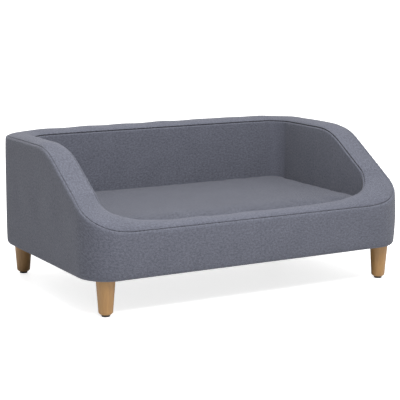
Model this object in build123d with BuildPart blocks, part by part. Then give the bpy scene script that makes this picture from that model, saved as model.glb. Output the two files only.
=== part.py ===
"""Free-standing pet sofa: an upholstered plywood shell with a back, two sloping arms and a low front rail,
on four turned legs, with a loose zipped cushion inside. Millimetres, +Z up, +X to the right, front at -Y,
origin on the floor under the middle of the plan."""

import os
from math import cos, radians, sin, tan

from build123d import *

os.makedirs("parts", exist_ok=True)

# Shell
width = 980
depth = 616
underside = 95
arm_top = 405
front_top = 224
front_radius = 83
back_radius = 94
wall = 76
inner_radius = 55
arm_slope = 32
knee_setback = 278
knee_radius = 170

# Cloth, foam and board
skin = 1.5
hem = 24
dust_cover_thickness = 0.8
dust_cover_inset = 14
deck_cloth_thickness = 0.8
ply = 15
panel_inset = 10
board_inset = 32
board_cover = 24
block = 35

# Legs and their fixings
leg_inset_x = 61
leg_inset_y = 43
leg_top_radius = 25
leg_foot_radius = 18.5
leg_chamfer = 4
glide_height = 6
glide_radius = 11
glide_nail_radius = 1.5
glide_nail_length = 16
bolt_radius = 4
bolt_clearance = 0.05
bolt_in_leg = 28
bolt_in_base = 15.3
nut_barrel_radius = 5
nut_flange_radius = 10
nut_flange_thickness = 1.5
nut_length = 11.5

# Screws and staples
screw_length = 40
screw_radius = 2
screw_head_radius = 4
screw_head_height = 3
staple_crown = 10
staple_wire = 1.2
staple_flat = 0.7
staple_leg = 8
staple_pitch = 45
staple_inset = 19

# Cushion and its zip
cushion_gap = 4
cushion_rear_gap = 8
cushion_lift_gap = 0.5
cushion_top = 228
cushion_top_edge = 32
cushion_base_edge = 24
cushion_skin = 1.2
zip_height = 150
zip_length = 560
zip_tape_width = 24
zip_tape_thickness = 0.8
zip_coil_width = 4
zip_coil_thickness = 1.2
slider_length = 10
slider_width = 9
slider_thickness = 3
slider_gap = 0.2
stud_radius = 0.9
stud_clearance = 0.05
stud_head_radius = 1.6
stud_head_thickness = 0.4
pull_thickness = 1.2
pull_length = 24
pull_eye_radius = 2.6
pull_end_radius = 3.6

# Worked out from the sizes above
front_y = -depth / 2
back_y = depth / 2
corner_setback = wall + inner_radius
corner_x = width / 2 - corner_setback
corner_y = front_y + corner_setback
knee_y = front_y + knee_setback
base_bottom = underside + skin
base_top = base_bottom + ply
leg_top = underside - dust_cover_thickness
beyond = 10
clear_height = arm_top + beyond - base_bottom
leg_places = {
    "front_left": (leg_inset_x - width / 2, front_y + leg_inset_y),
    "front_right": (width / 2 - leg_inset_x, front_y + leg_inset_y),
    "back_left": (leg_inset_x - width / 2, back_y - leg_inset_y),
    "back_right": (width / 2 - leg_inset_x, back_y - leg_inset_y),
}


def save(piece, name):
    """Labels a finished piece and writes it."""
    piece.part.label = name
    export_step(piece.part, f"parts/{name}.step")


def plan(inset, height, front_corner, back_corner):
    """Rounded rectangle of the shell's plan, moved in by inset on every side, at a height."""
    with BuildSketch(Plane.XY.offset(height)) as outline:
        Rectangle(width - 2 * inset, depth - 2 * inset)
        fillet(outline.vertices().group_by(Axis.Y)[0], front_corner)
        fillet(outline.vertices().sort_by(Axis.Y)[-2:], back_corner)
    return outline.sketch


def outer_plan(inset, height):
    """Plan of the shell's outer face, moved in by inset."""
    return plan(inset, height, front_radius - inset, back_radius - inset)


def inner_plan(offset_out, height):
    """Plan of the walls' inner face, moved out into the wall by offset_out."""
    radius = inner_radius + offset_out
    return plan(wall - offset_out, height, radius, radius)


def slope_height(y, drop):
    """Height of the arm's sloping line at y, lowered by drop."""
    return arm_top - drop - tan(radians(arm_slope)) * (knee_y - y)


def side_profile(x, start_y, end_y, low, drop):
    """Side view of an arm at x: up the slope, round the knee and level to the back, lowered by drop."""
    slope = radians(arm_slope)
    tangent = knee_radius * tan(slope / 2)
    knee_start = (knee_y - tangent * cos(slope), arm_top - drop - tangent * sin(slope))
    knee_end = (knee_y + tangent, arm_top - drop)
    with BuildSketch(Plane.YZ.offset(x)) as profile:
        with BuildLine():
            Polyline((start_y, low), (start_y, slope_height(start_y, drop)), knee_start)
            TangentArc(knee_start, knee_end, tangent=(cos(slope), sin(slope)))
            Polyline(knee_end, (end_y, arm_top - drop), (end_y, low), (start_y, low))
        make_face()
    return profile.sketch


def corner_height(angle, drop):
    """Height of the band round a front corner, from the arm at 0 degrees to the front rail at 90."""
    rise = slope_height(corner_y, 0) - front_top
    return front_top + rise * (1 - sin(radians(angle))) - drop


def under_the_band(drop):
    """Everything below the walls' top surface, lowered by drop."""
    low = underside - beyond
    nearest = inner_radius - beyond
    reach = corner_setback * 1.2 + beyond
    with BuildPart() as volume:
        arms_and_back = side_profile(0, corner_y, back_y + beyond, low, drop)
        extrude(arms_and_back, amount=width / 2 + beyond, both=True)
        with Locations((0, front_y - beyond, low)):
            Box(
                2 * corner_x,
                corner_setback + beyond,
                front_top - drop - low,
                align=(Align.CENTER, Align.MIN, Align.MIN),
            )
    with BuildPart() as corner:
        for angle in (0, 22.5, 45, 67.5, 90):
            out = (cos(radians(angle)), -sin(radians(angle)), 0)
            along = (-sin(radians(angle)), -cos(radians(angle)), 0)
            with BuildSketch(Plane(origin=(corner_x, corner_y, 0), x_dir=out, z_dir=along)):
                with Locations((nearest, low)):
                    Rectangle(
                        reach - nearest,
                        corner_height(angle, drop) - low,
                        align=(Align.MIN, Align.MIN),
                    )
        loft()
        mirror(about=Plane.YZ)
    with BuildPart() as whole:
        add(volume.part)
        add(corner.part)
    return whole.part


def frame_part(low_x, high_x, low_y, high_y, height):
    """A board or block that stands on the base panel, with the screws' holes in it."""
    with BuildPart() as piece:
        with Locations((low_x, low_y, base_top)):
            Box(high_x - low_x, high_y - low_y, height, align=(Align.MIN, Align.MIN, Align.MIN))
        add(frame_screws.part, mode=Mode.SUBTRACT)
    return piece


# Screws: up through the base panel into the boards, and through the front and back boards into the sides
board_x = width / 2 - board_inset - ply / 2
board_y = depth / 2 - board_inset - ply / 2
screw_points = [(x, y) for y in (-board_y, board_y) for x in (-390, -234, -78, 78, 234, 390)]
screw_points += [(x, y) for x in (-board_x, board_x) for y in (-150, 0, 150)]
screw_places = [Plane(origin=(x, y, base_bottom), z_dir=(0, 0, 1)) for x, y in screw_points]
for x in (-board_x, board_x):
    for z in (140, 180):
        screw_places.append(Plane(origin=(x, front_y + board_inset, z), z_dir=(0, 1, 0)))
    for z in (140, 220, 300):
        screw_places.append(Plane(origin=(x, back_y - board_inset, z), z_dir=(0, -1, 0)))

with BuildPart() as frame_screws:
    with Locations(*screw_places):
        Cone(
            screw_head_radius,
            screw_radius,
            screw_head_height,
            align=(Align.CENTER, Align.CENTER, Align.MIN),
        )
        Cylinder(screw_radius, screw_length, align=(Align.CENTER, Align.CENTER, Align.MIN))
save(frame_screws, "frame_screws")

with BuildPart() as leg_t_nuts:
    with Locations(*[(x, y, base_top) for x, y in leg_places.values()]):
        Cylinder(nut_flange_radius, nut_flange_thickness, align=(Align.CENTER, Align.CENTER, Align.MAX))
        Cylinder(nut_barrel_radius, nut_length, align=(Align.CENTER, Align.CENTER, Align.MAX))
        Cylinder(
            bolt_radius + bolt_clearance,
            nut_length,
            align=(Align.CENTER, Align.CENTER, Align.MAX),
            mode=Mode.SUBTRACT,
        )
save(leg_t_nuts, "leg_t_nuts")

with BuildPart() as base_panel:
    extrude(outer_plan(panel_inset, base_bottom), amount=ply)
    with Locations(*[(x, y, base_top) for x, y in leg_places.values()]):
        Cylinder(
            nut_flange_radius,
            nut_flange_thickness,
            align=(Align.CENTER, Align.CENTER, Align.MAX),
            mode=Mode.SUBTRACT,
        )
        Cylinder(
            nut_barrel_radius,
            ply,
            align=(Align.CENTER, Align.CENTER, Align.MAX),
            mode=Mode.SUBTRACT,
        )
    add(frame_screws.part, mode=Mode.SUBTRACT)
save(base_panel, "base_panel")

board_end_x = width / 2 - board_inset
front_board = frame_part(
    -board_end_x,
    board_end_x,
    front_y + board_inset,
    front_y + board_inset + ply,
    front_top - board_cover - base_top,
)
save(front_board, "front_board")

back_board = frame_part(
    -board_end_x,
    board_end_x,
    back_y - board_inset - ply,
    back_y - board_inset,
    arm_top - board_cover - base_top,
)
save(back_board, "back_board")

side_start = front_y + board_inset + ply
with BuildPart() as left_board:
    extrude(side_profile(-board_x, side_start, -side_start, base_top, board_cover), amount=ply / 2, both=True)
    add(frame_screws.part, mode=Mode.SUBTRACT)
save(left_board, "left_board")

with BuildPart() as right_board:
    extrude(side_profile(board_x, side_start, -side_start, base_top, board_cover), amount=ply / 2, both=True)
    add(frame_screws.part, mode=Mode.SUBTRACT)
save(right_board, "right_board")

# Corner blocks, glued into the four corners between the boards
block_near = board_inset + ply
block_far = block_near + block
front_block_height = front_board.part.bounding_box().size.Z
back_block_height = back_board.part.bounding_box().size.Z
corner_blocks = []
for name, x_side, y_side, height in (
    ("front_left", -1, -1, front_block_height),
    ("front_right", 1, -1, front_block_height),
    ("back_left", -1, 1, back_block_height),
    ("back_right", 1, 1, back_block_height),
):
    xs = sorted((x_side * (width / 2 - block_near), x_side * (width / 2 - block_far)))
    ys = sorted((y_side * (depth / 2 - block_near), y_side * (depth / 2 - block_far)))
    corner_block = frame_part(*xs, *ys, height)
    corner_blocks.append(corner_block)
    save(corner_block, f"corner_block_{name}")

# Foam round the boards and the base panel's edge, in four blocks that meet beside the corners
under_cloth = under_the_band(skin)
with BuildPart() as all_foam:
    extrude(outer_plan(skin, base_bottom), amount=clear_height)
    extrude(inner_plan(skin, base_top), amount=clear_height, mode=Mode.SUBTRACT)
    extrude(outer_plan(panel_inset, base_bottom), amount=ply, mode=Mode.SUBTRACT)
    add(under_cloth, mode=Mode.INTERSECT)
    for timber in (front_board, back_board, left_board, right_board, *corner_blocks):
        add(timber.part, mode=Mode.SUBTRACT)
    add(frame_screws.part, mode=Mode.SUBTRACT)

with BuildPart() as left_arm_foam:
    add(all_foam.part)
    split(bisect_by=Plane.YZ.offset(-corner_x), keep=Keep.BOTTOM)
save(left_arm_foam, "left_arm_foam")

with BuildPart() as right_arm_foam:
    add(all_foam.part)
    split(bisect_by=Plane.YZ.offset(corner_x), keep=Keep.TOP)
save(right_arm_foam, "right_arm_foam")

with BuildPart() as back_foam:
    add(all_foam.part)
    split(bisect_by=Plane.YZ.offset(-corner_x), keep=Keep.TOP)
    split(bisect_by=Plane.YZ.offset(corner_x), keep=Keep.BOTTOM)
    split(bisect_by=Plane.XZ, keep=Keep.BOTTOM)
save(back_foam, "back_foam")

with BuildPart() as front_foam:
    add(all_foam.part)
    split(bisect_by=Plane.YZ.offset(-corner_x), keep=Keep.TOP)
    split(bisect_by=Plane.YZ.offset(corner_x), keep=Keep.BOTTOM)
    split(bisect_by=Plane.XZ, keep=Keep.TOP)
save(front_foam, "front_foam")

# Fabric: outer panel with its hem under the base, band on top, lining inside
with BuildPart() as outer_cover:
    extrude(outer_plan(0, underside), amount=clear_height)
    extrude(outer_plan(skin, base_bottom), amount=clear_height, mode=Mode.SUBTRACT)
    extrude(outer_plan(hem, underside), amount=skin, mode=Mode.SUBTRACT)
    add(under_cloth, mode=Mode.INTERSECT)
save(outer_cover, "outer_cover")

with BuildPart() as top_band:
    extrude(outer_plan(0, base_top), amount=clear_height)
    extrude(inner_plan(0, base_top), amount=clear_height, mode=Mode.SUBTRACT)
    add(under_the_band(0), mode=Mode.INTERSECT)
    add(under_cloth, mode=Mode.SUBTRACT)
save(top_band, "top_band")

with BuildPart() as inner_lining:
    extrude(inner_plan(skin, base_top), amount=clear_height)
    extrude(inner_plan(0, base_top), amount=clear_height, mode=Mode.SUBTRACT)
    add(under_cloth, mode=Mode.INTERSECT)
save(inner_lining, "inner_lining")

with BuildPart() as deck_cloth:
    extrude(inner_plan(0, base_top), amount=deck_cloth_thickness)
save(deck_cloth, "deck_cloth")

with BuildPart() as dust_cover:
    extrude(outer_plan(dust_cover_inset, leg_top), amount=dust_cover_thickness)
    with Locations(*[(x, y, leg_top) for x, y in leg_places.values()]):
        Cylinder(nut_barrel_radius, 3 * dust_cover_thickness, mode=Mode.SUBTRACT)
save(dust_cover, "dust_cover")

# Staples in rows along the four sides of the dust cover, clear of the legs
row_y = depth / 2 - staple_inset
row_x = width / 2 - staple_inset
front_rows = [(i * staple_pitch, y, 0) for y in (-row_y, row_y) for i in range(-8, 9)]
side_rows = [(x, i * staple_pitch, 90) for x in (-row_x, row_x) for i in range(-4, 5)]
with BuildPart() as cover_staples:
    for x, y, turn in front_rows + side_rows:
        with Locations(Location((x, y, leg_top), (0, 0, turn))):
            Box(staple_crown, staple_wire, staple_flat, align=(Align.CENTER, Align.CENTER, Align.MAX))
            with GridLocations(staple_crown - staple_flat, 0, 2, 1):
                Box(staple_flat, staple_wire, staple_leg, align=(Align.CENTER, Align.CENTER, Align.MIN))
save(cover_staples, "cover_staples")

# Legs, each with its hanger bolt and glide
bolt_low = leg_top - bolt_in_leg
for name, (x, y) in leg_places.items():
    upright = Plane(origin=(x, y, 0), x_dir=(1, 0, 0), z_dir=(0, -1, 0))
    turning_axis = Axis((x, y, 0), (0, 0, 1))

    with BuildPart() as leg:
        with BuildSketch(upright):
            Polygon(
                (0, glide_height),
                (leg_foot_radius - leg_chamfer, glide_height),
                (leg_foot_radius, glide_height + leg_chamfer),
                (leg_top_radius, leg_top),
                (0, leg_top),
                align=None,
            )
        revolve(axis=turning_axis)
        with Locations((x, y, leg_top)):
            Cylinder(
                bolt_radius,
                bolt_in_leg,
                align=(Align.CENTER, Align.CENTER, Align.MAX),
                mode=Mode.SUBTRACT,
            )
        with Locations((x, y, glide_height)):
            Cylinder(
                glide_nail_radius,
                glide_nail_length,
                align=(Align.CENTER, Align.CENTER, Align.MIN),
                mode=Mode.SUBTRACT,
            )
    save(leg, f"leg_{name}")

    with BuildPart() as leg_bolt:
        with Locations((x, y, bolt_low)):
            Cylinder(
                bolt_radius,
                bolt_in_leg + bolt_in_base,
                align=(Align.CENTER, Align.CENTER, Align.MIN),
            )
        chamfer(leg_bolt.edges().group_by(Axis.Z)[-1], bolt_radius / 4)
    save(leg_bolt, f"leg_bolt_{name}")

    with BuildPart() as glide:
        with Locations((x, y, 0)):
            Cylinder(glide_radius, glide_height, align=(Align.CENTER, Align.CENTER, Align.MIN))
        chamfer(glide.edges().group_by(Axis.Z)[0], 1)
        with Locations((x, y, glide_height)):
            Cylinder(
                glide_nail_radius,
                glide_nail_length,
                align=(Align.CENTER, Align.CENTER, Align.MIN),
            )
    save(glide, f"glide_{name}")

# Loose cushion: filling, and a cover in two halves that meet at the zip's height
cushion_width = width - 2 * (wall + cushion_gap)
cushion_depth = depth - 2 * wall - cushion_gap - cushion_rear_gap
cushion_y = (cushion_gap - cushion_rear_gap) / 2
cushion_low = base_top + deck_cloth_thickness + cushion_lift_gap
rear_face = cushion_y + cushion_depth / 2


def cushion_solid(inset):
    """Rounded block of the cushion, moved in by inset all over."""
    with BuildPart() as pad:
        with BuildSketch(Plane.XY.offset(cushion_low + inset)):
            with Locations((0, cushion_y)):
                RectangleRounded(
                    cushion_width - 2 * inset,
                    cushion_depth - 2 * inset,
                    inner_radius - cushion_gap - inset,
                )
        extrude(amount=cushion_top - cushion_low - 2 * inset)
        fillet(pad.edges().group_by(Axis.Z)[-1], cushion_top_edge - inset)
        fillet(pad.edges().group_by(Axis.Z)[0], cushion_base_edge - inset)
    return pad.part


cushion_outside = cushion_solid(0)
cushion_inside = cushion_solid(cushion_skin)

with BuildPart() as cushion_fill:
    add(cushion_inside)
save(cushion_fill, "cushion_fill")

with BuildPart() as cushion_top_cover:
    add(cushion_outside)
    add(cushion_inside, mode=Mode.SUBTRACT)
    split(bisect_by=Plane.XY.offset(zip_height), keep=Keep.TOP)
save(cushion_top_cover, "cushion_top_cover")

with BuildPart() as cushion_base_cover:
    add(cushion_outside)
    add(cushion_inside, mode=Mode.SUBTRACT)
    split(bisect_by=Plane.XY.offset(zip_height), keep=Keep.BOTTOM)
save(cushion_base_cover, "cushion_base_cover")

# Zip along the cushion's rear border
with BuildPart() as zip_tape:
    with Locations((0, rear_face, zip_height)):
        Box(zip_length, zip_tape_thickness, zip_tape_width, align=(Align.CENTER, Align.MIN, Align.CENTER))
save(zip_tape, "zip_tape")

coil_face = rear_face + zip_tape_thickness
with BuildPart() as zip_coil:
    with Locations((0, coil_face, zip_height)):
        Box(
            zip_length - zip_coil_width,
            zip_coil_thickness,
            zip_coil_width,
            align=(Align.CENTER, Align.MIN, Align.CENTER),
        )
save(zip_coil, "zip_coil")

slider_x = slider_length - zip_length / 2
slider_face = coil_face + slider_gap + slider_thickness
stud_length = 2 * slider_gap + pull_thickness
slider_front = Plane(origin=(slider_x, slider_face, zip_height), x_dir=(-1, 0, 0), z_dir=(0, 1, 0))
with BuildPart() as zip_slider:
    with Locations((slider_x, coil_face + slider_gap, zip_height)):
        Box(slider_length, slider_thickness, slider_width, align=(Align.CENTER, Align.MIN, Align.CENTER))
    fillet(zip_slider.edges().filter_by(Axis.Y), slider_length / 4)
    with Locations((slider_x, coil_face, zip_height)):
        Box(
            2 * slider_length,
            zip_coil_thickness + slider_gap,
            zip_coil_width + 2 * slider_gap,
            align=(Align.CENTER, Align.MIN, Align.CENTER),
            mode=Mode.SUBTRACT,
        )
    with BuildSketch(slider_front):
        Circle(stud_radius)
    extrude(amount=stud_length)
    with BuildSketch(slider_front.offset(stud_length)):
        Circle(stud_head_radius)
    extrude(amount=stud_head_thickness)
save(zip_slider, "zip_slider")

with BuildPart() as zip_pull:
    with BuildSketch(slider_front.offset(slider_gap)):
        with BuildLine():
            eye_left = (-pull_eye_radius, 0)
            eye_right = (pull_eye_radius, 0)
            end_left = (-pull_end_radius, pull_end_radius - pull_length)
            end_right = (pull_end_radius, pull_end_radius - pull_length)
            ThreePointArc(eye_left, (0, pull_eye_radius), eye_right)
            Line(eye_right, end_right)
            ThreePointArc(end_right, (0, -pull_length), end_left)
            Line(end_left, eye_left)
        make_face()
        Circle(stud_radius + stud_clearance, mode=Mode.SUBTRACT)
    extrude(amount=pull_thickness)
save(zip_pull, "zip_pull")
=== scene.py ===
"""Looks of a free-standing pet sofa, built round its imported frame.

Melange upholstery with sewn seams, a loose plump cushion with a zip, turned wooden legs, and the
plywood, foam and fixings inside."""

import math

import bmesh
import bpy
import numpy as np
from bpy.props import FloatProperty, FloatVectorProperty, IntProperty, PointerProperty
from bpy.types import Operator, Panel, PropertyGroup
from mathutils import Matrix, Vector


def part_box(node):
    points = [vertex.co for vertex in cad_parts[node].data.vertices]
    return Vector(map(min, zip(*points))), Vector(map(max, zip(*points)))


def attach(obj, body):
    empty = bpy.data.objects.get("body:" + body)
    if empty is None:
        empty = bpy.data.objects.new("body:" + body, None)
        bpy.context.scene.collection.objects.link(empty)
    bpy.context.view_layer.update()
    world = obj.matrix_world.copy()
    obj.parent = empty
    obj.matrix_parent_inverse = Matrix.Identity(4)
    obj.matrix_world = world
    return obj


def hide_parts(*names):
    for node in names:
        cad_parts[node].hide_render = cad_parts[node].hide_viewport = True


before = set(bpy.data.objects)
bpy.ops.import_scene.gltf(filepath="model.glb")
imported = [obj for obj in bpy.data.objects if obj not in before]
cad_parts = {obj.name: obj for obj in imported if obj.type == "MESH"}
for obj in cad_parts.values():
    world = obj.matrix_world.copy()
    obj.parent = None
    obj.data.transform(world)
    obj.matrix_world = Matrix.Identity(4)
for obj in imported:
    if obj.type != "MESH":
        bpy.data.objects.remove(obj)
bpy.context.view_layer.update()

bl_info = {
    "name": "Pet sofa",
    "version": (1, 0, 0),
    "blender": (4, 5, 0),
    "location": "View3D > Sidebar > Pet sofa",
    "description": "Builds an upholstered pet sofa round its packed frame",
    "category": "Object",
}

MM = 0.001


def numbers(node):
    """Lowest and highest corner of a frame node as two arrays, in metres."""
    low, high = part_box(node)
    return np.array(low), np.array(high)


COVER_LOW, COVER_HIGH = numbers("outer_cover")
BAND_LOW, BAND_HIGH = numbers("top_band")
DECK_HIGH = numbers("deck_cloth")[1]
HALF_WIDTH = float(COVER_HIGH[0])
HALF_DEPTH = float(COVER_HIGH[1])
UNDERSIDE = float(COVER_LOW[2])
TOP = float(BAND_HIGH[2])
WALL = float(COVER_HIGH[0] - DECK_HIGH[0])
DECK = float(DECK_HIGH[2])
SKIN = 1.5 * MM
FRONT_TOP = float(BAND_LOW[2]) + SKIN
LEGS = ("front_left", "front_right", "back_left", "back_right")
BOARDS = ("front_board", "back_board", "left_board", "right_board")
BLOCKS = tuple(f"corner_block_{leg}" for leg in LEGS)

QUARTER = math.pi / 2
CLOTH = 1.2 * MM  # Thickness of the upholstery cloth
HEM = 24 * MM  # How far the outer panel reaches in under the base
TUCK = 6  # Columns in an edge that is tucked into a seam
SHOULDER = 8  # Columns in the outer panel's shoulder
DUST_RADIUS = 74 * MM  # Corners of the dust cover
TINY = 1e-9


# --- Sizes and colours a user would change --------------------------------------------------------


class ShellSettings(PropertyGroup):
    front_radius: FloatProperty(
        name="Front corner",
        description="Radius of the front corners in plan",
        default=83 * MM,
        unit="LENGTH",
    )
    back_radius: FloatProperty(
        name="Back corner",
        description="Radius of the back corners in plan",
        default=94 * MM,
        unit="LENGTH",
    )
    inner_radius: FloatProperty(
        name="Inner corner",
        description="Radius of the walls' inner corners",
        default=44 * MM,
        unit="LENGTH",
    )
    arm_slope: FloatProperty(
        name="Arm slope",
        description="Angle of the arms' slope",
        default=math.radians(32),
        subtype="ANGLE",
    )
    knee_setback: FloatProperty(
        name="Knee",
        description="From the front to where the arms turn level",
        default=278 * MM,
        unit="LENGTH",
    )
    knee_radius: FloatProperty(
        name="Knee radius",
        description="Radius of the turn at the knee",
        default=170 * MM,
        unit="LENGTH",
    )
    seam_drop: FloatProperty(
        name="Seam drop",
        description="Outer seam below the frame's top, on back and arms",
        default=5 * MM,
        unit="LENGTH",
    )
    rail_drop: FloatProperty(
        name="Rail drop",
        description="Outer seam below the frame's top, on the rail",
        default=7 * MM,
        unit="LENGTH",
    )
    inner_drop: FloatProperty(
        name="Inner drop",
        description="Inner seam below the outer one",
        default=3 * MM,
        unit="LENGTH",
    )
    outer_run_out: FloatProperty(
        name="Outer run-out",
        description="Length in which the outer seam's slope levels out",
        default=151 * MM,
        unit="LENGTH",
    )
    inner_run_out: FloatProperty(
        name="Inner run-out",
        description="Length in which the inner seam's height dies away",
        default=60 * MM,
        unit="LENGTH",
    )
    corner_dip: FloatProperty(
        name="Corner dip",
        description="How much lower the walls are at the back corners",
        default=1.5 * MM,
        unit="LENGTH",
    )
    seam_inset: FloatProperty(
        name="Seam inset",
        description="Seams in from the walls' faces",
        default=5 * MM,
        unit="LENGTH",
    )
    seam_gap: FloatProperty(
        name="Seam gap",
        description="Width of the fold at a seam",
        default=1.6 * MM,
        unit="LENGTH",
    )
    seam_depth: FloatProperty(
        name="Seam depth",
        description="Depth of the fold at a seam",
        default=6 * MM,
        unit="LENGTH",
    )
    back_crown: FloatProperty(
        name="Back crown",
        description="Rise of the band over its seams, on back and level arms",
        default=10 * MM,
        unit="LENGTH",
    )
    slope_crown: FloatProperty(
        name="Slope crown",
        description="Rise of the band over its seams, on the arms' slopes",
        default=1.5 * MM,
        unit="LENGTH",
    )
    front_crown: FloatProperty(
        name="Front crown",
        description="Rise of the band over its seams, on the rail",
        default=14 * MM,
        unit="LENGTH",
    )
    inner_inset: FloatProperty(
        name="Inner seam inset",
        description="From the lining's face to the seam",
        default=2.5 * MM,
        unit="LENGTH",
    )
    inner_lip: FloatProperty(
        name="Inner lip",
        description="How much lower the lining's edge is than the band's, at the seam",
        default=2.2 * MM,
        unit="LENGTH",
    )
    inner_shoulder: FloatProperty(
        name="Inner shoulder",
        description="Height of the lining's rounding at its seam",
        default=5 * MM,
        unit="LENGTH",
    )
    shoulder: FloatProperty(
        name="Shoulder",
        description="Height of the panels' rounding under a seam",
        default=10 * MM,
        unit="LENGTH",
    )
    base_rounding: FloatProperty(
        name="Base rounding",
        description="Radius where the panel turns under the base",
        default=12 * MM,
        unit="LENGTH",
    )
    belly: FloatProperty(
        name="Belly",
        description="How far the panels swell between their edges",
        default=2 * MM,
        unit="LENGTH",
    )
    step: FloatProperty(
        name="Grid step",
        description="Spacing of the grid along the walls",
        default=5 * MM,
        unit="LENGTH",
    )


class FabricSettings(PropertyGroup):
    light: FloatVectorProperty(
        name="Light fibre",
        description="Colour of the light fibres",
        default=(0.129, 0.135, 0.169),
        subtype="COLOR",
    )
    dark: FloatVectorProperty(
        name="Dark fibre",
        description="Colour of the dark fibres",
        default=(0.038, 0.040, 0.053),
        subtype="COLOR",
    )
    pitch: FloatProperty(
        name="Thread pitch",
        description="Distance between threads",
        default=1.3 * MM,
        unit="LENGTH",
    )


class CushionSettings(PropertyGroup):
    grow: FloatProperty(
        name="Grow",
        description="How much wider the form is before its borders pull in",
        default=11 * MM,
        unit="LENGTH",
    )
    flatten: FloatProperty(
        name="Flatten",
        description="How much lower the form is before it swells",
        default=7 * MM,
        unit="LENGTH",
    )
    crown: FloatProperty(
        name="Crown",
        description="Rise of the form's top at its middle",
        default=6 * MM,
        unit="LENGTH",
    )
    voxel: FloatProperty(
        name="Voxel",
        description="Grid of the cloth that is simulated",
        default=7 * MM,
        unit="LENGTH",
    )
    pressure: FloatProperty(
        name="Pressure",
        description="Pressure of the filling",
        default=4.0,
    )
    frames: IntProperty(
        name="Frames",
        description="Steps of the simulation",
        default=20,
    )
    cap: FloatProperty(
        name="Cap",
        description="Furthest that a point may move",
        default=10 * MM,
        unit="LENGTH",
    )


class StageSettings(PropertyGroup):
    azimuth: FloatProperty(
        name="Azimuth",
        description="Camera's direction round the sofa",
        default=math.radians(-30.338),
        subtype="ANGLE",
    )
    elevation: FloatProperty(
        name="Elevation",
        description="Camera's height angle",
        default=math.radians(10.424),
        subtype="ANGLE",
    )
    roll: FloatProperty(
        name="Roll",
        description="Camera's roll",
        default=math.radians(0.454),
        subtype="ANGLE",
    )
    distance: FloatProperty(
        name="Distance",
        description="Camera to the point it looks at",
        default=3.6562,
        unit="LENGTH",
    )
    target_x: FloatProperty(
        name="Target x",
        description="Point looked at, along the width",
        default=-0.0024,
        unit="LENGTH",
    )
    target_z: FloatProperty(
        name="Target z",
        description="Point looked at, above the floor",
        default=0.2171,
        unit="LENGTH",
    )
    lens: FloatProperty(
        name="Lens",
        description="Focal length on a 36 mm sensor, in mm",
        default=116.8,
    )
    daylight: FloatProperty(
        name="Daylight",
        description="Strength of the even light all round",
        default=1.0,
    )
    key: FloatProperty(
        name="Key light",
        description="Power of the large key light, in watts",
        default=102.0,
    )


def settings():
    """The scene's own copy of the sizes and colours above."""
    return bpy.context.scene.pet_sofa


# --- Shape of the walls ---------------------------------------------------------------------------


def corner_reach(angle, setback, radius):
    """Distance from the inner corner's centre to the outer face, at an angle.

    The outer face is a straight side, an arc of the given radius, and the other straight side. The
    arc's centre is setback - radius out from the inner corner's centre along both sides."""
    out, across = np.cos(angle), np.sin(angle)
    shift = setback - radius
    arc = shift * (out + across) + np.sqrt(radius**2 - (shift * (out - across)) ** 2)
    first = setback / np.maximum(out, TINY)
    second = setback / np.maximum(across, TINY)
    on_first = across * setback < shift * out
    on_second = out * setback < shift * across
    return np.where(on_first, first, np.where(on_second, second, arc))


def arm_height(y):
    """Height of the outer seam along an arm: a straight slope, an arc at the knee, then level."""
    shell = settings().shell
    level = TOP - shell.seam_drop
    knee = -HALF_DEPTH + shell.knee_setback
    tangent = shell.knee_radius * math.tan(shell.arm_slope / 2)
    slope = level - math.tan(shell.arm_slope) * (knee - y)
    along = np.clip(knee + tangent - y, 0, shell.knee_radius * math.sin(shell.arm_slope))
    arc = level - shell.knee_radius + np.sqrt(shell.knee_radius**2 - along**2)
    start = knee - tangent * math.cos(shell.arm_slope)
    return np.where(y < start, slope, np.where(y < knee + tangent, arc, level))


def outer_fall(distance, drop):
    """Height over the rail of the outer seam, at a distance from the arm's straight part.

    It goes on down the arm's slope and then levels out along a parabola."""
    shell = settings().shell
    slope = math.tan(shell.arm_slope)
    straight = drop / slope - shell.outer_run_out / 2
    left = np.clip(straight + shell.outer_run_out - distance, 0, None)
    curve = slope * left**2 / (2 * shell.outer_run_out)
    return np.where(distance < straight, drop - slope * distance, curve)


def smoothed(values, spread):
    """A closed line's values, averaged with the spread neighbours on each side under a cosine
    bell."""
    bell = np.cos(np.linspace(-1, 1, 2 * spread + 3)[1:-1] * QUARTER) ** 2
    ring = np.concatenate([values[-spread:], values, values[:spread]])
    return np.convolve(ring, bell / bell.sum(), "valid")


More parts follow.
